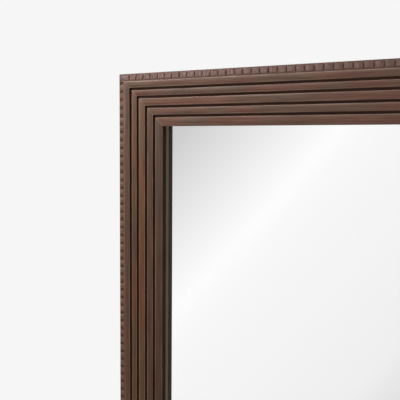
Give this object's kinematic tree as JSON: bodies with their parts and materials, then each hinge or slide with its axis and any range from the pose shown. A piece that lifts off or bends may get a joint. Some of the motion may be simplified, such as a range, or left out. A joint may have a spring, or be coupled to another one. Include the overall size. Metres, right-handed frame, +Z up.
{
  "type": "over-the-door mirror",
  "caption": "Full-length mirror in a mitred wood frame with crowned bands and a toothed outer edge, with sliding door hooks, thumbscrews, hanging rings and rubber bumpers behind.",
  "frame": {"origin": "middle of the bounding box at its base: halfway across the frame, halfway from the front bands to the hooks' tongues, at the frame's lower edge", "axes": "+Z up, +X to the right of a person who looks into the glass, +Y from the glass towards the door"},
  "size_m": [0.43, 0.0772, 1.29],
  "materials": {
    "timber": "walnut-stained wood moulding, satin lacquer, streaked along each side",
    "tooth_timber": "the same stained wood, cut across into teeth, a little lighter",
    "glass": "clear float glass with a faint green edge",
    "silvering": "silver coat behind the glass, sealed with grey paint",
    "board": "brown hardboard, pressed",
    "rubber": "moulded black rubber",
    "felt": "grey needled felt, stuck on",
    "black_steel": "pressed steel with black powder coat",
    "zinc_steel": "bright zinc-plated steel",
    "brass": "turned brass"
  },
  "bodies": {
    "frame": {"top_rail": "timber", "bottom_rail": "timber", "left_stile": "timber", "right_stile": "timber", "top_dentil_strip": "tooth_timber", "bottom_dentil_strip": "tooth_timber", "left_dentil_strip": "tooth_timber", "right_dentil_strip": "tooth_timber", "mirror_glass": "glass", "mirror_silvering": "silvering", "glass_pads": "rubber", "backing_board": "board", "framers_points": "zinc_steel", "corner_v_nails": "zinc_steel", "guide_screws": "zinc_steel", "slot_washers": "zinc_steel", "insert_nuts": "brass", "upper_left_bumper": "rubber", "upper_right_bumper": "rubber", "lower_left_bumper": "rubber", "lower_right_bumper": "rubber", "bumper_screws": "zinc_steel", "left_ring_strap": "zinc_steel", "right_ring_strap": "zinc_steel", "ring_strap_screws": "zinc_steel"},
    "left_hook": {"left_door_hook": "black_steel", "left_hook_top_felt": "felt", "left_hook_tongue_felt": "felt"},
    "right_hook": {"right_door_hook": "black_steel", "right_hook_top_felt": "felt", "right_hook_tongue_felt": "felt"},
    "left_thumbscrew": {"left_thumbscrew": "black_steel"},
    "right_thumbscrew": {"right_thumbscrew": "black_steel"},
    "left_ring": {"left_hanging_ring": "zinc_steel"},
    "right_ring": {"right_hanging_ring": "zinc_steel"}
  },
  "joints": [
    {"name": "left_hook_slide", "type": "slide", "parent": "frame", "child": "left_hook", "axis": [0, 0, 1], "range_m": [0, 0.08]},
    {"name": "right_hook_slide", "type": "slide", "parent": "frame", "child": "right_hook", "axis": [0, 0, 1], "range_m": [0, 0.08]},
    {"name": "left_thumbscrew_turn", "type": "hinge", "parent": "frame", "child": "left_thumbscrew", "pos_m": [-0.13, -0.01865, 1.2621], "axis": [0, 1, 0], "range_deg": [0, 360]},
    {"name": "right_thumbscrew_turn", "type": "hinge", "parent": "frame", "child": "right_thumbscrew", "pos_m": [0.13, -0.01865, 1.2621], "axis": [0, 1, 0], "range_deg": [0, 360]},
    {"name": "left_ring_swing", "type": "hinge", "parent": "frame", "child": "left_ring", "pos_m": [-0.1963, -0.01585, 1.06], "axis": [1, 0, 0], "range_deg": [0, 175]},
    {"name": "right_ring_swing", "type": "hinge", "parent": "frame", "child": "right_ring", "pos_m": [0.1963, -0.01585, 1.06], "axis": [1, 0, 0], "range_deg": [0, 175]}
  ]
}
